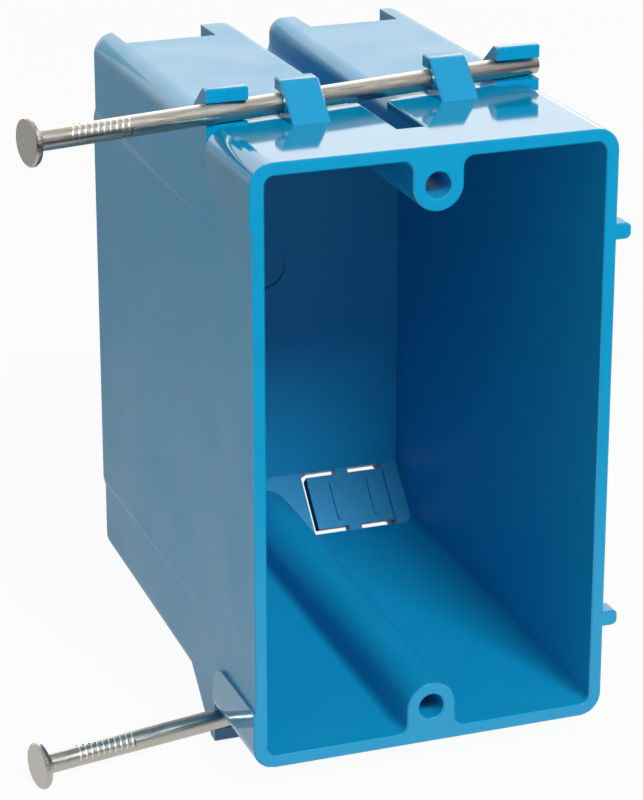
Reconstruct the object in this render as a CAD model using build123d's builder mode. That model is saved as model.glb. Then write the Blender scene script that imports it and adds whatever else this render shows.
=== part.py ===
from build123d import *
import os
from math import cos, hypot, radians, sin

# Nail-on new work outlet box in millimetres. The rim lies in the plane Y = 0, the box
# runs to +Y, +Z is up, and the origin is midway between the two device screw holes.

# Moulded shell. Its ends and left side close in towards the back; the side at the stud is square
BOX_WIDTH = 57.15
BOX_HEIGHT = 95.25
BOX_DEPTH = 85.0
END_DRAFT = 1.2
LEFT_DRAFT = 1.7
WALL = 2.0
OUTER_CORNER_R = 3.5
INNER_CORNER_R = 1.5
RIM_EDGE = 0.2

# Device screw bosses, half-round tongues inside the rim
SCREW_INSET = 5.955
SCREW_HOLE_R = 2.0
BOSS_R = 3.95
BOSS_FILLET_R = 1.6
BOSS_DEPTH = 10.5

# Channels sunk in the top and bottom, from behind each boss to the open back
CHANNEL_FRONT_R = 2.1
CHANNEL_REAR_R = 3.0
CHANNEL_REAR_X = 0.8
CHANNEL_FRONT_LIP_R = 0.4
CHANNEL_REAR_LIP_R = 2.5
CHANNEL_LIP_CHANGE_Y = 27.0

# Slanted corners at the back and the cable flaps in them, placed at the top right and mirrored
FACET_RUN = 8.2
FACET_RISE = 8.6
FLAP_X = 16.0
FLAP_WALL = 2.2
FLAP_WIDTH = 15.4
RECESS_CORNER_R = 1.2
SLIT = 0.9
SLIT_MARGIN = 0.1
SLIT_WEB = 2.3
SCORE_WIDTH = 0.6
SCORE_DEPTH = 0.5
FLAP_RIB_WIDTH = 1.1
FLAP_RIB_HEIGHT = 0.45
FLAP_RIB_END_GAP = 1.2
FLAP_RIB_SPACING = 6.9
FLAP_RIB_OUTWARD = 1.15

# Captive nails
NAIL_R = 1.6
NAIL_LENGTH = 87.0
NAIL_HEAD_R = 3.65
NAIL_HEAD_RIM = 0.9
NAIL_HEAD_CONE = 1.1
NAIL_HEAD_EDGE = 0.25
NAIL_POINT_LENGTH = 6.0
NAIL_YAW = 10.6
NAIL_Y = 26.9
NAIL_HEAD_X = -56.6
LOWER_NAIL_OUT = 1.9
NAIL_LIFT = 0.05
NAIL_CLEARANCE = 0.08
GRIP_START = 6.9
GRIP_PITCH = 1.0
GRIP_COUNT = 10
GRIP_DEPTH = 0.25

# Nail guides: wedges in front of the nail, hooked over it, open to the back
GUIDE_X = 12.8
GUIDE_WIDTH = 6.0
GUIDE_HEIGHT = 5.1
GUIDE_FOOT = 6.5
GUIDE_SHOULDER = 0.9
GUIDE_OVERHANG = 2.0

# End tabs: wedges behind the nail at both sides, hooked over it, open to the front
TAB_WIDTH = 7.0
TAB_HEIGHT = 5.4
TAB_OVERHANG = 1.45
TAB_CROWN = 1.6
TAB_SLOPE_RUN = 6.8
HOOK_EDGE = 0.2

# Low relief on the left wall, and the stops beside the rim on the right
PAD_RELIEF = 0.3
PAD_DEPTH = 19.8
PAD_HEIGHT = 9.6
PAD_CORNER_R = 5.0
PAD_WRAP = 2.2
PANEL_RELIEF = 0.35
PANEL_FRONT_Y = 12.0
PANEL_HALF_HEIGHT = 32.4
PANEL_FLANK = 1.4
STOP_Z = 31.5
STOP_REACH = 2.4
STOP_HEIGHT = 2.5
STOP_DEPTH = 3.0
STOP_END_R = 0.9
DIMPLE_X = 1.5
DIMPLE_Z = 3.6
DIMPLE_R = 4.3
DIMPLE_DEPTH = 0.3

# Overlap of joined forms and overrun of cuts
BITE = 1.0

half_width = BOX_WIDTH / 2
half_height = BOX_HEIGHT / 2
back_inside = BOX_DEPTH - WALL
screw_z = half_height - SCREW_INSET
channel_bottom = screw_z - CHANNEL_FRONT_R

nail_z = half_height + NAIL_LIFT + NAIL_R
nail_direction = Vector(cos(radians(NAIL_YAW)), sin(radians(NAIL_YAW)), 0)
nail_across = Vector(-sin(radians(NAIL_YAW)), cos(radians(NAIL_YAW)), 0)
pocket_r = NAIL_R + NAIL_CLEARANCE


def at_depth(y):
    """Plane parallel to the rim, at the depth y behind it."""
    return Plane.XZ.offset(-y)


def end_z(y):
    """Height of the top's outer face at the depth y."""
    return half_height - END_DRAFT * y / BOX_DEPTH


def left_x(y):
    """Place of the left side's outer face at the depth y."""
    return LEFT_DRAFT * y / BOX_DEPTH - half_width


def nail_y(x):
    """Depth of the nail's axis where it crosses the given x."""
    return NAIL_Y + x * nail_direction.Y / nail_direction.X


def plan(depth, inset):
    """The box seen from above, as deep as given and inset from its outer faces."""
    with BuildSketch(Plane.XY) as outline:
        with BuildLine():
            Polyline(
                (left_x(0) + inset, 0),
                (half_width - inset, 0),
                (half_width - inset, depth),
                (left_x(depth) + inset, depth),
                close=True,
            )
        make_face()
    return outline.sketch


def drafted_block(depth, inset, corner_r):
    """Block with the box's draft, as deep as given and inset from its outer faces."""
    with BuildPart() as block:
        with BuildSketch(Plane.YZ):
            with BuildLine():
                Polyline(
                    (0, inset - end_z(0)),
                    (depth, inset - end_z(depth)),
                    (depth, end_z(depth) - inset),
                    (0, end_z(0) - inset),
                    close=True,
                )
            make_face()
        extrude(amount=BOX_WIDTH, both=True)
        extrude(plan(depth, inset), amount=BOX_HEIGHT, both=True, mode=Mode.INTERSECT)
        fillet(block.edges().filter_by_position(Axis.Y, depth / 4, 3 * depth / 4), corner_r)
    return block.part


def channel_x(y):
    """Middle of a channel at the depth y; it leans from the boss towards the stud."""
    return CHANNEL_REAR_X * (y - BOSS_DEPTH) / (BOX_DEPTH - BOSS_DEPTH)


def trough(x, y, radius, bottom, top, lip_r):
    """Round-bottomed section about x at the depth y, its lips turned outward at the top."""
    centre_z = bottom + radius
    outer = radius + lip_r
    with BuildSketch(at_depth(y)) as section:
        with BuildLine():
            CenterArc((x - outer, top - lip_r), lip_r, 90, -90)
            Line((x - radius, top - lip_r), (x - radius, centre_z))
            CenterArc((x, centre_z), radius, 180, 180)
            Line((x + radius, centre_z), (x + radius, top - lip_r))
            CenterArc((x + outer, top - lip_r), lip_r, 180, -90)
            Polyline((x + outer, top), (x + outer, top + BITE), (x - outer, top + BITE), (x - outer, top))
        make_face()
    return section.sketch


def pocket_section(side):
    """Section of a nail pocket across the nail, open to the back (1) or to the front (-1)."""
    plane = Plane(origin=(0, NAIL_Y, nail_z), x_dir=nail_across, z_dir=nail_direction)
    opening_align = Align.MIN if side > 0 else Align.MAX
    with BuildSketch(plane) as section:
        Circle(pocket_r)
        with Locations((0, pocket_r)):
            Rectangle(GUIDE_FOOT, pocket_r + nail_z - half_height, align=(opening_align, Align.MAX))
    return section.sketch


# Ridges inside the box: each begins as the boss at the rim and covers a channel from inside
with BuildPart() as ridges:
    loft(
        sections=[
            trough(0, 0, BOSS_R, screw_z - BOSS_R, end_z(0) - WALL, BOSS_FILLET_R),
            trough(
                channel_x(back_inside + BITE),
                back_inside + BITE,
                CHANNEL_REAR_R + WALL,
                channel_bottom - WALL,
                end_z(back_inside + BITE) - WALL,
                BOSS_FILLET_R,
            ),
        ]
    )
    mirror(about=Plane.XY)

# Slanted inner corner at the top back: x across, y down the slope to the back wall, z outward
facet_y = back_inside - FACET_RUN
facet_length = hypot(FACET_RUN, FACET_RISE)
facet = Plane(
    origin=(0, facet_y, end_z(facet_y) - WALL),
    x_dir=(1, 0, 0),
    z_dir=(0, FACET_RISE, FACET_RUN),
)

# Material behind the slanted inner corners
with BuildPart() as slants:
    with BuildSketch(facet):
        with Locations((0, facet_length / 2)):
            Rectangle(BOX_WIDTH, 2 * facet_length)
    extrude(amount=2 * facet_length)
    mirror(about=Plane.XY)

# Hollow of the box: a drafted block less the ridges and the slanted corners
with BuildPart() as cavity:
    add(drafted_block(back_inside, WALL, INNER_CORNER_R))
    add(slants.part, mode=Mode.SUBTRACT)
    add(ridges.part, mode=Mode.SUBTRACT)

# Channels, closed at the boss and open at the back, with rounded lips behind the nail
channel_slope = (CHANNEL_REAR_R - CHANNEL_FRONT_R) / (BOX_DEPTH - BOSS_DEPTH)
channel_change_r = CHANNEL_FRONT_R + channel_slope * (CHANNEL_LIP_CHANGE_Y - BOSS_DEPTH)
with BuildPart() as channels:
    loft(
        sections=[
            trough(
                channel_x(BOSS_DEPTH),
                BOSS_DEPTH,
                CHANNEL_FRONT_R,
                channel_bottom,
                end_z(BOSS_DEPTH),
                CHANNEL_FRONT_LIP_R,
            ),
            trough(
                channel_x(CHANNEL_LIP_CHANGE_Y),
                CHANNEL_LIP_CHANGE_Y,
                channel_change_r,
                channel_bottom,
                end_z(CHANNEL_LIP_CHANGE_Y),
                CHANNEL_FRONT_LIP_R,
            ),
        ]
    )
    loft(
        sections=[
            trough(
                channel_x(CHANNEL_LIP_CHANGE_Y),
                CHANNEL_LIP_CHANGE_Y,
                channel_change_r,
                channel_bottom,
                end_z(CHANNEL_LIP_CHANGE_Y),
                CHANNEL_REAR_LIP_R,
            ),
            trough(
                channel_x(BOX_DEPTH + BITE),
                BOX_DEPTH + BITE,
                CHANNEL_REAR_R,
                channel_bottom,
                end_z(BOX_DEPTH + BITE),
                CHANNEL_REAR_LIP_R,
            ),
        ]
    )
    mirror(about=Plane.XY)

# Cable flaps: a recess behind each slanted corner leaves a thin flap, slit on three sides
# but for a web at the middle of its ends, and scored along its outer, hinge side
slit_end = facet_length - SLIT_MARGIN
dash_length = (FLAP_WIDTH - SLIT_WEB) / 2
with BuildPart() as flap_cuts:
    with BuildSketch(facet.offset(FLAP_WALL)):
        with Locations((FLAP_X, facet_length)):
            Rectangle(FLAP_WIDTH, 2 * facet_length)
    extrude(amount=facet_length)
    fillet(flap_cuts.edges().filter_by(Axis(facet.origin, facet.y_dir)), RECESS_CORNER_R)
    with BuildSketch(facet.offset(-BITE)):
        with Locations((FLAP_X - (FLAP_WIDTH - SLIT) / 2, facet_length / 2)):
            Rectangle(SLIT, slit_end - SLIT_MARGIN)
        for slit_centre in (SLIT_MARGIN + SLIT / 2, slit_end - SLIT / 2):
            with Locations((FLAP_X, slit_centre)):
                with GridLocations(dash_length + SLIT_WEB, 1, 2, 1):
                    Rectangle(dash_length, SLIT)
    extrude(amount=FLAP_WALL + 2 * BITE)
    with BuildSketch(facet):
        with Locations((FLAP_X + (FLAP_WIDTH - SCORE_WIDTH) / 2, facet_length / 2)):
            Rectangle(SCORE_WIDTH, slit_end - SLIT_MARGIN)
    extrude(amount=SCORE_DEPTH)
    mirror(about=Plane.YZ)
    mirror(about=Plane.XY)

# Two rounded stiffening ribs on each flap's inner face
rib_length = facet_length - 2 * (SLIT_MARGIN + SLIT + FLAP_RIB_END_GAP)
with BuildPart() as flap_ribs:
    with BuildSketch(facet.offset(FLAP_WALL / 2)):
        with Locations((FLAP_X + FLAP_RIB_OUTWARD, facet_length / 2)):
            with GridLocations(FLAP_RIB_SPACING, 1, 2, 1):
                SlotOverall(rib_length, FLAP_RIB_WIDTH, rotation=90)
    extrude(amount=-(FLAP_WALL / 2 + FLAP_RIB_HEIGHT))
    mirror(about=Plane.YZ)
    mirror(about=Plane.XY)

# Nail guides: sloped front, flat crown, upright back, with a pocket open to the back
with BuildPart() as guides:
    for side in (-1, 1):
        axis_y = nail_y(side * GUIDE_X)
        foot_y = axis_y - GUIDE_FOOT
        with BuildSketch(Plane.YZ.offset(side * GUIDE_X)):
            with BuildLine():
                Polyline(
                    (foot_y, half_height - BITE),
                    (foot_y, end_z(foot_y)),
                    (axis_y - GUIDE_SHOULDER, half_height + GUIDE_HEIGHT),
                    (axis_y + GUIDE_OVERHANG, half_height + GUIDE_HEIGHT),
                    (axis_y + GUIDE_OVERHANG, half_height - BITE),
                    close=True,
                )
            make_face()
        extrude(amount=GUIDE_WIDTH / 2, both=True)
    raised = guides.edges().filter_by_position(Axis.Z, half_height + BITE, nail_z + BOX_HEIGHT)
    chamfer(raised, HOOK_EDGE)
    extrude(pocket_section(1), amount=BOX_WIDTH, both=True, mode=Mode.SUBTRACT)
    mirror(about=Plane.XY)

# End tabs: upright lip in front, sloped back, rooted in the box's corner and flush with its side
tab_inner_x = half_width - TAB_WIDTH
with BuildPart() as tabs:
    for side in (-1, 1):
        lip_y = nail_y(side * tab_inner_x) - TAB_OVERHANG
        crown_y = lip_y + TAB_CROWN
        root_depth = OUTER_CORNER_R + BITE
        root_y = crown_y + TAB_SLOPE_RUN * (1 + root_depth / TAB_HEIGHT)
        with BuildSketch(Plane.YZ.offset(side * tab_inner_x)):
            with BuildLine():
                Polyline(
                    (lip_y, half_height - root_depth),
                    (lip_y, half_height + TAB_HEIGHT),
                    (crown_y, half_height + TAB_HEIGHT),
                    (root_y, half_height - root_depth),
                    close=True,
                )
            make_face()
        extrude(amount=side * (TAB_WIDTH + BITE))
    extrude(plan(BOX_DEPTH, 0), amount=BOX_HEIGHT, both=True, mode=Mode.INTERSECT)
    raised = tabs.edges().filter_by_position(Axis.Z, half_height + BITE, nail_z + BOX_HEIGHT)
    chamfer(raised, HOOK_EDGE)
    extrude(pocket_section(-1), amount=BOX_WIDTH, both=True, mode=Mode.SUBTRACT)
    mirror(about=Plane.XY)

# Low pads at the front corners of the left wall, each with one rounded inner corner
with BuildPart() as pads:
    with BuildSketch(Plane.XZ):
        with Locations((-PAD_RELIEF / 2, 0)):
            RectangleRounded(BOX_WIDTH + PAD_RELIEF, BOX_HEIGHT, OUTER_CORNER_R)
    extrude(amount=-PAD_DEPTH)
    chamfer(pads.faces().sort_by(Axis.Y)[0].edges(), RIM_EDGE)
    with BuildSketch(Plane.YZ.offset(PAD_WRAP - half_width)):
        with Locations((0, half_height - PAD_HEIGHT), (0, -half_height)):
            Rectangle(PAD_DEPTH, PAD_HEIGHT, align=(Align.MIN, Align.MIN))
    extrude(amount=-2 * OUTER_CORNER_R, mode=Mode.INTERSECT)
    inner_corners = pads.edges().filter_by(Axis.X).group_by(Axis.Y)[-1]
    fillet(inner_corners.filter_by_position(Axis.Z, -half_height + BITE, half_height - BITE), PAD_CORNER_R)

# Central panel of the left wall, a shallow wedge that rises towards the back
with BuildPart() as panel:
    slope = PANEL_FLANK / PANEL_RELIEF
    sections = []
    for y, relief in ((PANEL_FRONT_Y, 0), (BOX_DEPTH, PANEL_RELIEF)):
        crest = PANEL_HALF_HEIGHT
        foot = crest + slope * (relief + WALL / 4)
        with BuildSketch(at_depth(y), mode=Mode.PRIVATE) as section:
            with BuildLine():
                Polyline(
                    (left_x(y) + WALL / 4, -foot),
                    (left_x(y) - relief, -crest),
                    (left_x(y) - relief, crest),
                    (left_x(y) + WALL / 4, foot),
                    close=True,
                )
            make_face()
        sections.append(section.sketch)
    loft(sections=sections)

# Stops beside the rim that set the box against the stud's face
with BuildPart() as stops:
    with BuildSketch(Plane.XZ) as stop_section:
        with Locations((half_width - BITE, STOP_Z), (half_width - BITE, -STOP_Z)):
            Rectangle(STOP_REACH + BITE, STOP_HEIGHT, align=(Align.MIN, Align.CENTER))
        fillet(stop_section.vertices().group_by(Axis.X)[-1], STOP_END_R)
    extrude(amount=-STOP_DEPTH)
    chamfer(stops.edges().group_by(Axis.Y)[0], RIM_EDGE)

# Box body
with BuildPart() as box_body:
    add(drafted_block(BOX_DEPTH, 0, OUTER_CORNER_R))
    chamfer(box_body.faces().sort_by(Axis.Y)[0].edges(), RIM_EDGE)
    add(pads.part)
    add(stops.part)
    add(panel.part)
    add(guides.part)
    add(tabs.part)
    add(cavity.part, mode=Mode.SUBTRACT)
    add(channels.part, mode=Mode.SUBTRACT)
    add(flap_cuts.part, mode=Mode.SUBTRACT)
    add(flap_ribs.part)
    # Device screw holes, from the rim into the channels
    with BuildSketch(Plane.XZ):
        with GridLocations(1, 2 * screw_z, 1, 2):
            Circle(SCREW_HOLE_R)
    extrude(amount=-(BOSS_DEPTH + BITE), mode=Mode.SUBTRACT)
    # Shallow round mark on the inner back wall
    with BuildSketch(at_depth(back_inside + DIMPLE_DEPTH)):
        with Locations((DIMPLE_X, DIMPLE_Z)):
            Circle(DIMPLE_R)
    extrude(amount=DIMPLE_DEPTH + BITE, mode=Mode.SUBTRACT)
    # Broken inner edges of the rim
    rim_openings = box_body.faces().sort_by(Axis.Y)[0].inner_wires()
    chamfer([edge for opening in rim_openings for edge in opening.edges()], RIM_EDGE)

# Nails: forged head, plain shank with grip marks on two sides, diamond point
nail_head = Vector(NAIL_HEAD_X, nail_y(NAIL_HEAD_X), nail_z)
nail_plane = Plane(origin=nail_head, x_dir=nail_direction, z_dir=-nail_across)
with BuildPart() as nail_top:
    with BuildSketch(nail_plane) as nail_section:
        with BuildLine():
            Polyline(
                (0, 0),
                (0, NAIL_HEAD_R),
                (NAIL_HEAD_RIM, NAIL_HEAD_R),
                (NAIL_HEAD_RIM + NAIL_HEAD_CONE, NAIL_R),
                (NAIL_LENGTH, NAIL_R),
                (NAIL_LENGTH, 0),
                close=True,
            )
        make_face()
        chamfer(nail_section.vertices().group_by(Axis.Y)[-1], NAIL_HEAD_EDGE)
    revolve(axis=Axis(nail_head, nail_direction))
    for turn in (45, 135, 225, 315):
        with BuildSketch(nail_plane.rotated((turn, 0, 0))):
            with BuildLine():
                Polyline(
                    (NAIL_LENGTH - NAIL_POINT_LENGTH, NAIL_R),
                    (NAIL_LENGTH, 0),
                    (NAIL_LENGTH + BITE, 0),
                    (NAIL_LENGTH + BITE, NAIL_R + BITE),
                    (NAIL_LENGTH - NAIL_POINT_LENGTH, NAIL_R + BITE),
                    close=True,
                )
            make_face()
        extrude(amount=2 * NAIL_R, both=True, mode=Mode.SUBTRACT)
    grip_centre = GRIP_START + (GRIP_COUNT - 1) * GRIP_PITCH / 2
    for turn in (90, 270):
        with BuildSketch(nail_plane.rotated((turn, 0, 0))):
            with Locations((grip_centre, NAIL_R)):
                with GridLocations(GRIP_PITCH, 1, GRIP_COUNT, 1):
                    Rectangle(GRIP_DEPTH * 2 ** 0.5, GRIP_DEPTH * 2 ** 0.5, rotation=45)
        extrude(amount=2 * NAIL_R, both=True, mode=Mode.SUBTRACT)

# The lower nail is the same, drawn out a little further
with BuildPart() as nail_bottom:
    lower_nail = mirror(nail_top.part, about=Plane.XY, mode=Mode.PRIVATE)
    add(lower_nail.moved(Location(-LOWER_NAIL_OUT * nail_direction)))

box_body.part.label = "box_body"
nail_top.part.label = "nail_top"
nail_bottom.part.label = "nail_bottom"

os.makedirs("parts", exist_ok=True)
export_step(box_body.part, "parts/box_body.step")
export_step(nail_top.part, "parts/nail_top.step")
export_step(nail_bottom.part, "parts/nail_bottom.step")
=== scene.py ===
import math

import bmesh
import bpy
from mathutils import Matrix, Vector


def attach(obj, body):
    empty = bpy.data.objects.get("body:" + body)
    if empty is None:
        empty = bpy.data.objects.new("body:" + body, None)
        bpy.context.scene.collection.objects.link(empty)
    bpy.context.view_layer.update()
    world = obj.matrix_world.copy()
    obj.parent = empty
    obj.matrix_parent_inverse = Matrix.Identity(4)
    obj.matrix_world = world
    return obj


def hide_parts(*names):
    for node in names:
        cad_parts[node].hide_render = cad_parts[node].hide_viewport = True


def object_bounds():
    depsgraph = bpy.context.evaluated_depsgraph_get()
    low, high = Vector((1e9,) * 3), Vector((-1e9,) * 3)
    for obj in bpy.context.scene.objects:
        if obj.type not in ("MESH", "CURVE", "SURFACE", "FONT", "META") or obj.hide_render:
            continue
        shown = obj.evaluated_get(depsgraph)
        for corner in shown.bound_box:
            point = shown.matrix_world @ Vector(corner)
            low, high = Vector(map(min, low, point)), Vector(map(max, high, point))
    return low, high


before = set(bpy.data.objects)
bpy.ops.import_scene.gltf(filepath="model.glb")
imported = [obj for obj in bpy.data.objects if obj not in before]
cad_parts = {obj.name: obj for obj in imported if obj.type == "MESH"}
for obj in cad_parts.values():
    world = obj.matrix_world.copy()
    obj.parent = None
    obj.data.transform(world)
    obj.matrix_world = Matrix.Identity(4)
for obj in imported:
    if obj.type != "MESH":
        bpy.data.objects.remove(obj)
cad_low, cad_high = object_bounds()

# Box body: one injection moulding in blue rigid PVC. The front mould half is polished, so the
# ends in front of the nails shine; the rear half is spark-eroded, so the rest of the outside is
# matte. The inside comes off a plain ground core, and is the dullest.
MM = 0.001
NAIL_YAW = math.radians(10.6)
NAIL_LINE_Y = 26.9 * MM
END_FACE_Z = 46.0 * MM
LEFT_PAD_X = -28.65 * MM
CAVITY_HALF_WIDTH = 26.65 * MM
CAVITY_HALF_HEIGHT = 45.7 * MM
CAVITY_DEPTH = 83.6 * MM
RIM_EDGE_Y = 0.25 * MM
POLISH_BLEND = 0.4 * MM
FLOW_SIZE = 12 * MM
GRAIN_SIZE = 0.3 * MM
POLISHED_ROUGHNESS = 0.07
RIM_ROUGHNESS = 0.16
MATTE_ROUGHNESS = 0.37
INSIDE_ROUGHNESS = 0.52
SMOOTH_ANGLE = math.radians(13)
MERGE_DISTANCE = 0.001 * MM
SLIVER_LENGTH = 0.0001 * MM


def linear(hex_colour):
    """Linear red, green, blue and alpha of an sRGB hex colour."""
    channels = [int(hex_colour[i : i + 2], 16) / 255 for i in (1, 3, 5)]
    return [c / 12.92 if c <= 0.04045 else ((c + 0.055) / 1.055) ** 2.4 for c in channels] + [1.0]


def put(tree, kind, settings=None, links=None):
    """Adds a node, sets its properties or input values, and links its inputs."""
    made = tree.nodes.new(kind)
    for name, value in (settings or {}).items():
        if isinstance(name, str) and hasattr(made, name):
            setattr(made, name, value)
        else:
            made.inputs[name].default_value = value
    for name, source in (links or {}).items():
        tree.links.new(source, made.inputs[name])
    return made


def merged_copy(name, piece_name, angle):
    """A copy of a CAD node's mesh with its doubles merged, smooth but for edges over the angle."""
    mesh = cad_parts[name].data.copy()
    shape = bmesh.new()
    shape.from_mesh(mesh)
    bmesh.ops.remove_doubles(shape, verts=shape.verts, dist=MERGE_DISTANCE)
    bmesh.ops.dissolve_degenerate(shape, edges=shape.edges, dist=SLIVER_LENGTH)
    for face in shape.faces:
        face.smooth = True
    shape.to_mesh(mesh)
    shape.free()
    for layer in list(mesh.attributes):
        if layer.name == "custom_normal":
            mesh.attributes.remove(layer)
    mesh.set_sharp_from_angle(angle=angle)
    mesh.name = piece_name
    piece = bpy.data.objects.new(piece_name, mesh)
    bpy.context.scene.collection.objects.link(piece)
    flats = piece.modifiers.new("flat_faces_stay_flat", "WEIGHTED_NORMAL")
    flats.keep_sharp = True
    return piece


# Rigid PVC, injection moulded: saturated through-colour, a clear gloss where the mould is
# polished, and a fine even grain where it is eroded
plastic = bpy.data.materials.new("moulded_pvc_blue")
plastic.use_nodes = True
tree = plastic.node_tree
tree.nodes.clear()
place = put(tree, "ShaderNodeTexCoord")
axes = put(tree, "ShaderNodeSeparateXYZ", links={0: place.outputs["Object"]})
slant = put(
    tree,
    "ShaderNodeMath",
    {"operation": "MULTIPLY_ADD", 1: -math.tan(NAIL_YAW)},
    {0: axes.outputs["X"], 2: axes.outputs["Y"]},
)
before_nail = put(
    tree,
    "ShaderNodeMapRange",
    {
        "From Min": NAIL_LINE_Y - POLISH_BLEND,
        "From Max": NAIL_LINE_Y + POLISH_BLEND,
        "To Min": 1.0,
        "To Max": 0.0,
    },
    {"Value": slant.outputs[0]},
)
height = put(tree, "ShaderNodeMath", {"operation": "ABSOLUTE"}, {0: axes.outputs["Z"]})
on_end = put(
    tree, "ShaderNodeMath", {"operation": "GREATER_THAN", 1: END_FACE_Z}, {0: height.outputs[0]}
)
on_pad = put(
    tree, "ShaderNodeMath", {"operation": "LESS_THAN", 1: LEFT_PAD_X}, {0: axes.outputs["X"]}
)
outer = put(
    tree, "ShaderNodeMath", {"operation": "MAXIMUM"}, {0: on_end.outputs[0], 1: on_pad.outputs[0]}
)
behind_rim = put(
    tree, "ShaderNodeMath", {"operation": "GREATER_THAN", 1: RIM_EDGE_Y}, {0: axes.outputs["Y"]}
)
zone = put(
    tree,
    "ShaderNodeMath",
    {"operation": "MULTIPLY"},
    {0: before_nail.outputs[0], 1: outer.outputs[0]},
)
polished = put(
    tree,
    "ShaderNodeMath",
    {"operation": "MULTIPLY"},
    {0: zone.outputs[0], 1: behind_rim.outputs[0]},
)
side = put(tree, "ShaderNodeMath", {"operation": "ABSOLUTE"}, {0: axes.outputs["X"]})
within_sides = put(
    tree, "ShaderNodeMath", {"operation": "LESS_THAN", 1: CAVITY_HALF_WIDTH}, {0: side.outputs[0]}
)
within_ends = put(
    tree,
    "ShaderNodeMath",
    {"operation": "LESS_THAN", 1: CAVITY_HALF_HEIGHT},
    {0: height.outputs[0]},
)
within_back = put(
    tree, "ShaderNodeMath", {"operation": "LESS_THAN", 1: CAVITY_DEPTH}, {0: axes.outputs["Y"]}
)
hollow = put(
    tree,
    "ShaderNodeMath",
    {"operation": "MULTIPLY"},
    {0: within_sides.outputs[0], 1: within_ends.outputs[0]},
)
inside = put(
    tree,
    "ShaderNodeMath",
    {"operation": "MULTIPLY"},
    {0: hollow.outputs[0], 1: within_back.outputs[0]},
)
# Cloudy differences in gloss and tone from the melt's flow, some 12 mm across
flow = put(
    tree,
    "ShaderNodeTexNoise",
    {"Scale": 1 / FLOW_SIZE, "Detail": 3.0, "Roughness": 0.5},
    {"Vector": place.outputs["Object"]},
)
flow_range = put(
    tree,
    "ShaderNodeMapRange",
    {"From Min": 0.3, "From Max": 0.7, "To Min": -0.04, "To Max": 0.04},
    {"Value": flow.outputs["Fac"]},
)
matte = put(
    tree, "ShaderNodeMath", {"operation": "ADD", 1: MATTE_ROUGHNESS}, {0: flow_range.outputs[0]}
)
core = put(
    tree, "ShaderNodeMath", {"operation": "ADD", 1: INSIDE_ROUGHNESS}, {0: flow_range.outputs[0]}
)
inside_rough = put(
    tree,
    "ShaderNodeMix",
    {"data_type": "FLOAT"},
    {0: inside.outputs[0], 2: matte.outputs[0], 3: core.outputs[0]},
)
rim_rough = put(
    tree,
    "ShaderNodeMix",
    {"data_type": "FLOAT", 2: RIM_ROUGHNESS},
    {0: behind_rim.outputs[0], 3: inside_rough.outputs[0]},
)
roughness = put(
    tree,
    "ShaderNodeMix",
    {"data_type": "FLOAT", 3: POLISHED_ROUGHNESS},
    {0: polished.outputs[0], 2: rim_rough.outputs[0]},
)
# The eroded grain is about 0.15 mm; it is drawn at 0.3 mm so that it shows
grain = put(
    tree,
    "ShaderNodeTexNoise",
    {"Scale": 1 / GRAIN_SIZE, "Detail": 2.0, "Roughness": 0.6},
    {"Vector": place.outputs["Object"]},
)
# The polished zone has hardly any grain, and the inside about half
smoothness = put(
    tree,
    "ShaderNodeMath",
    {"operation": "MULTIPLY_ADD", 1: 0.6},
    {0: inside.outputs[0], 2: polished.outputs[0]},
)
grain_share = put(
    tree,
    "ShaderNodeMapRange",
    {"From Min": 0.0, "From Max": 1.0, "To Min": 0.2, "To Max": 0.02},
    {"Value": smoothness.outputs[0]},
)
bump = put(
    tree,
    "ShaderNodeBump",
    {"Distance": 0.03 * MM},
    {"Strength": grain_share.outputs[0], "Height": grain.outputs["Fac"]},
)
tone = put(
    tree,
    "ShaderNodeMix",
    {"data_type": "RGBA", 6: linear("#0096c7"), 7: linear("#009dcf")},
    {0: flow.outputs["Fac"]},
)
skin = put(
    tree,
    "ShaderNodeBsdfPrincipled",
    {"IOR": 1.53, "Metallic": 0.0},
    {
        "Base Color": tone.outputs[2],
        "Roughness": roughness.outputs[0],
        "Normal": bump.outputs["Normal"],
    },
)
put(tree, "ShaderNodeOutputMaterial", links={"Surface": skin.outputs["BSDF"]})

shell = merged_copy("box_body", "outlet_box_shell", SMOOTH_ANGLE)
# The blades that form the flaps' slits have draft, so each slit widens towards the outside: its
# far corners on the recess floor move down the slope, and those of the long slit move sideways
FACET_START = Vector((0, 74.8, 44.569)) * MM
FLAP_WALL = 2.2 * MM
FLAP_INNER_X = 8.3 * MM
SLIT = 0.9 * MM
SLIT_MARGIN = 0.1 * MM
FACET_RUN = 8.2 * MM
FACET_RISE = 8.6 * MM
FLOOR_TOLERANCE = 0.06 * MM
EDGE_TOLERANCE = 0.05 * MM
slope = Vector((0, FACET_RUN, -FACET_RISE)).normalized()
outward = Vector((0, FACET_RISE, FACET_RUN)).normalized()
facet_length = math.hypot(FACET_RUN, FACET_RISE)
far_edges = (SLIT + SLIT_MARGIN, facet_length - SLIT_MARGIN)
shape = bmesh.new()
shape.from_mesh(shell.data)
for corner in shape.verts:
    spot = Vector((abs(corner.co.x), corner.co.y, abs(corner.co.z))) - FACET_START
    run = spot.dot(slope)
    on_floor = abs(spot.dot(outward) - FLAP_WALL) < FLOOR_TOLERANCE
    if not on_floor or not SLIT_MARGIN / 2 < run < facet_length - SLIT_MARGIN / 2:
        continue
    if min(abs(run - edge) for edge in far_edges) < EDGE_TOLERANCE:
        corner.co += Vector((0, slope.y, math.copysign(slope.z, -corner.co.z))) * SLIT / 2
    if abs(spot.x - FLAP_INNER_X - SLIT) < EDGE_TOLERANCE:
        corner.co.x += math.copysign(SLIT, corner.co.x)
shape.to_mesh(shell.data)
shape.free()
shell.data.materials.clear()
shell.data.materials.append(plastic)
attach(shell, "box")
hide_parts("box_body")

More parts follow.
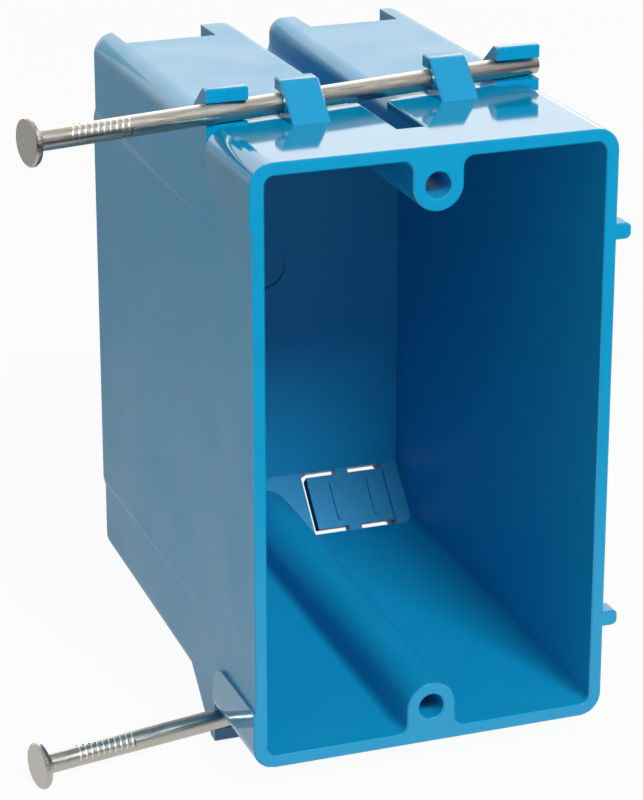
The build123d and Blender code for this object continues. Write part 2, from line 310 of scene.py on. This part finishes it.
# Nails: two common wire nails, held in the box's guides. The wire is bright drawn steel and keeps
# its drawing lines; the machine that upsets the head grips the shank and leaves a row of bites.
NAIL_R = 1.6 * MM
NAIL_Z = 49.275 * MM
UPPER_HEAD = Vector((-56.6 * MM, 16.31 * MM, NAIL_Z))
LOWER_HEAD = Vector((-58.47 * MM, 15.96 * MM, -NAIL_Z))
HEADS_END_X = -52.5 * MM
NAIL_SMOOTH_ANGLE = math.radians(30)
LINE_SPACING = 0.25 * MM
LINE_STRETCH = 20
GRIP_START = 6.9 * MM
GRIP_PITCH = 1.0 * MM
GRIP_COUNT = 10
GRIP_WIDTH = 0.7 * MM
GRIP_CREST = 0.3
GRIP_LEAN = 0.3 * MM
GRIP_SPAN = math.radians(100)
GRIP_FACING = math.radians(40)
GRIP_STEPS = 14
GRIP_END_WIDTH = 0.1414
# The bites rise by less than the nail's clearance in its guides
GRIP_HEIGHT = 0.035 * MM
along_nail = Vector((math.cos(NAIL_YAW), math.sin(NAIL_YAW), 0))
across_nail = Vector((-math.sin(NAIL_YAW), math.cos(NAIL_YAW), 0))

# Bright drawn steel: grey with fine lighter and duller lines along the wire
steel = bpy.data.materials.new("bright_wire_steel")
steel.use_nodes = True
tree = steel.node_tree
tree.nodes.clear()
place = put(tree, "ShaderNodeTexCoord")
along = put(
    tree,
    "ShaderNodeMapping",
    {"vector_type": "TEXTURE", "Rotation": (0, 0, NAIL_YAW), "Scale": (LINE_STRETCH, 1, 1)},
    {"Vector": place.outputs["Object"]},
)
# Drawing lines about 0.25 mm apart and 5 mm long
lines = put(
    tree,
    "ShaderNodeTexNoise",
    {"Scale": 1 / LINE_SPACING, "Detail": 3.0, "Roughness": 0.65},
    {"Vector": along.outputs["Vector"]},
)
steel_rough = put(
    tree,
    "ShaderNodeMapRange",
    {"From Min": 0.3, "From Max": 0.7, "To Min": 0.22, "To Max": 0.42},
    {"Value": lines.outputs["Fac"]},
)
drawn_tone = put(
    tree,
    "ShaderNodeMix",
    {"data_type": "RGBA", 6: linear("#a5a199"), 7: linear("#c9c6be")},
    {0: lines.outputs["Fac"]},
)
# The bites stand proud of the shank behind the head; their lighter colour is a painted highlight
# for the glints they catch
beside = put(
    tree,
    "ShaderNodeVectorMath",
    {"operation": "DOT_PRODUCT", 1: across_nail},
    {0: place.outputs["Object"]},
)
aside = put(
    tree,
    "ShaderNodeMath",
    {"operation": "SUBTRACT", 1: NAIL_LINE_Y * math.cos(NAIL_YAW)},
    {0: beside.outputs["Value"]},
)
axes = put(tree, "ShaderNodeSeparateXYZ", links={0: place.outputs["Object"]})
height = put(tree, "ShaderNodeMath", {"operation": "ABSOLUTE"}, {0: axes.outputs["Z"]})
above = put(tree, "ShaderNodeMath", {"operation": "SUBTRACT", 1: NAIL_Z}, {0: height.outputs[0]})
offset = put(tree, "ShaderNodeCombineXYZ", links={0: aside.outputs[0], 1: above.outputs[0]})
radius = put(tree, "ShaderNodeVectorMath", {"operation": "LENGTH"}, {0: offset.outputs[0]})
proud = put(
    tree,
    "ShaderNodeMapRange",
    {"From Min": NAIL_R, "From Max": NAIL_R + GRIP_HEIGHT / 2, "To Min": 0.0, "To Max": 1.0},
    {"Value": radius.outputs["Value"]},
)
behind_head = put(
    tree, "ShaderNodeMath", {"operation": "GREATER_THAN", 1: HEADS_END_X}, {0: axes.outputs["X"]}
)
painted_glint_mask = put(
    tree,
    "ShaderNodeMath",
    {"operation": "MULTIPLY"},
    {0: proud.outputs[0], 1: behind_head.outputs[0]},
)
# Painted highlight: the proud bites are mixed towards a pale steel colour
steel_tone = put(
    tree,
    "ShaderNodeMix",
    {"data_type": "RGBA", 7: linear("#e4e2db")},
    {0: painted_glint_mask.outputs[0], 6: drawn_tone.outputs[2]},
)
steel_bump = put(
    tree,
    "ShaderNodeBump",
    {"Distance": 0.02 * MM, "Strength": 0.25},
    {"Height": lines.outputs["Fac"]},
)
wire = put(
    tree,
    "ShaderNodeBsdfPrincipled",
    {"Metallic": 1.0},
    {
        "Base Color": steel_tone.outputs[2],
        "Roughness": steel_rough.outputs[0],
        "Normal": steel_bump.outputs["Normal"],
    },
)
put(tree, "ShaderNodeOutputMaterial", links={"Surface": wire.outputs["BSDF"]})


def add_grips(piece, head):
    """Raises the gripper's bites on two sides of the shank, each a lens-shaped leaning rib."""
    shape = bmesh.new()
    shape.from_mesh(piece.data)
    for side in (0, math.pi):
        first = side + GRIP_FACING - GRIP_SPAN / 2
        outwards = -across_nail * math.cos(first) + Vector((0, 0, math.sin(first)))
        for number in range(GRIP_COUNT):
            centre = head + along_nail * (GRIP_START + number * GRIP_PITCH)
            before = set(shape.verts)
            profile = [
                shape.verts.new(
                    centre
                    + along_nail * shift * GRIP_WIDTH / 2
                    + outwards * (NAIL_R + lift * GRIP_HEIGHT)
                )
                for shift, lift in ((-1, -1), (-GRIP_CREST, 1), (GRIP_CREST, 1), (1, -1))
            ]
            sides = [shape.edges.new((profile[k - 1], profile[k])) for k in range(4)]
            bmesh.ops.spin(
                shape,
                geom=profile + sides,
                cent=centre,
                axis=-along_nail,
                angle=GRIP_SPAN,
                steps=GRIP_STEPS,
                use_merge=False,
            )
            rib = [corner for corner in shape.verts if corner not in before]
            for corner in rib:
                shift = (corner.co - centre).dot(along_nail)
                radial = corner.co - centre - along_nail * shift
                turned = math.atan2(radial.z, -radial.dot(across_nail)) - side - GRIP_FACING
                share = math.remainder(turned, math.tau) / (GRIP_SPAN / 2)
                fullness = math.sqrt(max(0.0, 1 - share * share))
                rise = GRIP_HEIGHT * fullness if radial.length > NAIL_R else -GRIP_HEIGHT
                shift = share * GRIP_LEAN + shift * max(GRIP_END_WIDTH, fullness)
                corner.co = centre + along_nail * shift + radial.normalized() * (NAIL_R + rise)
            rims = {edge for corner in rib for edge in corner.link_edges if edge.is_boundary}
            bmesh.ops.holes_fill(shape, edges=list(rims), sides=4)
    bmesh.ops.recalc_face_normals(shape, faces=shape.faces)
    shape.to_mesh(piece.data)
    shape.free()


for node_name, piece_name, body, head in (
    ("nail_top", "upper_wire_nail", "upper_nail", UPPER_HEAD),
    ("nail_bottom", "lower_wire_nail", "lower_nail", LOWER_HEAD),
):
    nail = merged_copy(node_name, piece_name, NAIL_SMOOTH_ANGLE)
    add_grips(nail, head)
    nail.data.materials.clear()
    nail.data.materials.append(steel)
    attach(nail, body)
    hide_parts(node_name)

# Floor and backdrop: one sheet of matt white paper under the object, much larger than it. It
# still takes the object's soft shadow.
FLOOR_GAP = 0.05 * MM
FLOOR_HALF_SIZE = 3.0
WHITE_SHARE = 0.95
MIRROR_FRONT_Y = -0.12
MIRROR_BACK_Y = 1.08
# Share of the way from the mirror's front to its back, and the white seen there
MIRROR_STOPS = ((0.0, 0.05), (0.06, 0.95), (0.12, 0.9), (0.2, 0.8), (0.34, 0.45), (0.85, 1.0))
shape = bmesh.new()
bmesh.ops.create_grid(shape, x_segments=1, y_segments=1, size=FLOOR_HALF_SIZE)
bmesh.ops.translate(shape, verts=shape.verts, vec=(0, 0, cad_low.z - FLOOR_GAP))
floor_mesh = bpy.data.meshes.new("studio_floor")
shape.to_mesh(floor_mesh)
shape.free()
floor = bpy.data.objects.new("studio_floor", floor_mesh)
bpy.context.scene.collection.objects.link(floor)
paper = bpy.data.materials.new("white_paper")
paper.use_nodes = True
tree = paper.node_tree
tree.nodes.clear()
rays = put(tree, "ShaderNodeLightPath")
# As the object mirrors it, the sheet is white around the object and dark where it ends in front
place = put(tree, "ShaderNodeTexCoord")
axes = put(tree, "ShaderNodeSeparateXYZ", links={0: place.outputs["Object"]})
mirrored = put(
    tree,
    "ShaderNodeMapRange",
    {"From Min": MIRROR_FRONT_Y, "From Max": MIRROR_BACK_Y},
    {"Value": axes.outputs["Y"]},
)
profile = put(tree, "ShaderNodeValToRGB", links={"Fac": mirrored.outputs[0]})
stops = profile.color_ramp.elements
for position, level in MIRROR_STOPS:
    stop = stops[0] if position == 0.0 else stops.new(position)
    stop.position = position
    stop.color = (level, level, level, 1)
stops.remove(stops[-1])
brightness = put(
    tree,
    "ShaderNodeMix",
    {"data_type": "FLOAT", 2: 1.0},
    {0: rays.outputs["Is Glossy Ray"], 3: profile.outputs["Color"]},
)
direct = put(
    tree,
    "ShaderNodeMath",
    {"operation": "MULTIPLY", 1: WHITE_SHARE},
    {0: rays.outputs["Is Camera Ray"]},
)
glowing = put(
    tree,
    "ShaderNodeMath",
    {"operation": "MAXIMUM"},
    {0: direct.outputs[0], 1: rays.outputs["Is Glossy Ray"]},
)
matte_paper = put(tree, "ShaderNodeBsdfDiffuse", {"Color": linear("#e6e6e6")})
glow = put(tree, "ShaderNodeEmission", links={"Strength": brightness.outputs[0]})
mixed = put(
    tree,
    "ShaderNodeMixShader",
    links={0: glowing.outputs[0], 1: matte_paper.outputs[0], 2: glow.outputs[0]},
)
put(tree, "ShaderNodeOutputMaterial", links={"Surface": mixed.outputs[0]})
floor.data.materials.append(paper)

# Room: plain white where the camera sees it. Its light and what the object mirrors of it are set
# apart from that, so that white behind the object doesn't light it.
world = bpy.data.worlds.new("studio")
bpy.context.scene.world = world
world.use_nodes = True
tree = world.node_tree
tree.nodes.clear()
rays = put(tree, "ShaderNodeLightPath")
seen = put(
    tree,
    "ShaderNodeMath",
    {"operation": "MAXIMUM"},
    {0: rays.outputs["Is Camera Ray"], 1: rays.outputs["Is Glossy Ray"]},
)
way = put(tree, "ShaderNodeTexCoord")
axes = put(tree, "ShaderNodeSeparateXYZ", links={0: way.outputs["Generated"]})
# The object mirrors a pale room behind and beside it, and a dim one in front
mirrored = put(
    tree,
    "ShaderNodeMapRange",
    {"From Min": -0.55, "From Max": 0.1, "To Min": 0.36, "To Max": 0.8},
    {"Value": axes.outputs["Y"]},
)
shown = put(
    tree,
    "ShaderNodeMath",
    {"operation": "MAXIMUM"},
    {0: rays.outputs["Is Camera Ray"], 1: mirrored.outputs[0]},
)
# The room's light falls on the object more from the left, where the key softbox doesn't reach
fill = put(
    tree,
    "ShaderNodeMapRange",
    {"From Min": -1.0, "From Max": 0.0, "To Min": 0.4, "To Max": 0.096},
    {"Value": axes.outputs["X"]},
)
strength = put(
    tree,
    "ShaderNodeMix",
    {"data_type": "FLOAT"},
    {0: seen.outputs[0], 2: fill.outputs[0], 3: shown.outputs[0]},
)
sky = put(
    tree,
    "ShaderNodeBackground",
    {"Color": linear("#ffffff")},
    {"Strength": strength.outputs[0]},
)
put(tree, "ShaderNodeOutputWorld", links={"Surface": sky.outputs[0]})

# Lights: a key softbox in front, above and to the right, and a broad, slightly warm one behind
# that shows only in the object's gloss and whitens the top of the box
for name, place_at, look_at, width, tall, power, colour, mirror_only in (
    ("key_softbox", (0.12, -0.79, 0.78), (0, 0.03, 0), 0.32, 0.32, 11.2, "#ffffff", False),
    ("back_softbox", (0.5, 1.45, 0.75), (0, 0.04, 0.03), 3.4, 1.9, 35.0, "#fff7ee", True),
):
    lamp = bpy.data.lights.new(name, "AREA")
    lamp.shape = "RECTANGLE"
    lamp.size = width
    lamp.size_y = tall
    lamp.energy = power
    lamp.color = linear(colour)[:3]
    holder = bpy.data.objects.new(name, lamp)
    holder.location = place_at
    holder.rotation_euler = (Vector(look_at) - Vector(place_at)).to_track_quat("-Z", "Y").to_euler()
    holder.visible_camera = False
    holder.visible_diffuse = not mirror_only
    bpy.context.scene.collection.objects.link(holder)

# Camera at the photograph's place, to the left of the object and above it, as solved from the
# picture: its focal length is in pixels of a picture 800 pixels high
AZIMUTH = math.radians(20.128)
ELEVATION = math.radians(20.783)
ROLL = math.radians(-0.021)
DISTANCE = 446.7 * MM
TARGET = Vector((-18.017, 0, 11.013)) * MM
FOCAL_PIXELS = 3069.76
PICTURE_HEIGHT = 800
SENSOR_SIZE = 36
back = Vector(
    (
        -math.sin(AZIMUTH) * math.cos(ELEVATION),
        -math.cos(AZIMUTH) * math.cos(ELEVATION),
        math.sin(ELEVATION),
    )
)
lens = bpy.data.cameras.new("camera")
lens.sensor_width = SENSOR_SIZE
lens.lens = FOCAL_PIXELS * SENSOR_SIZE / PICTURE_HEIGHT
camera = bpy.data.objects.new("camera", lens)
roll = Matrix.Rotation(ROLL, 4, "Z")
turn = (-back).to_track_quat("-Z", "Y").to_matrix().to_4x4() @ roll
camera.matrix_world = Matrix.Translation(TARGET + back * DISTANCE) @ turn
bpy.context.scene.collection.objects.link(camera)
bpy.context.scene.camera = camera
bpy.context.scene.view_settings.view_transform = "Standard"
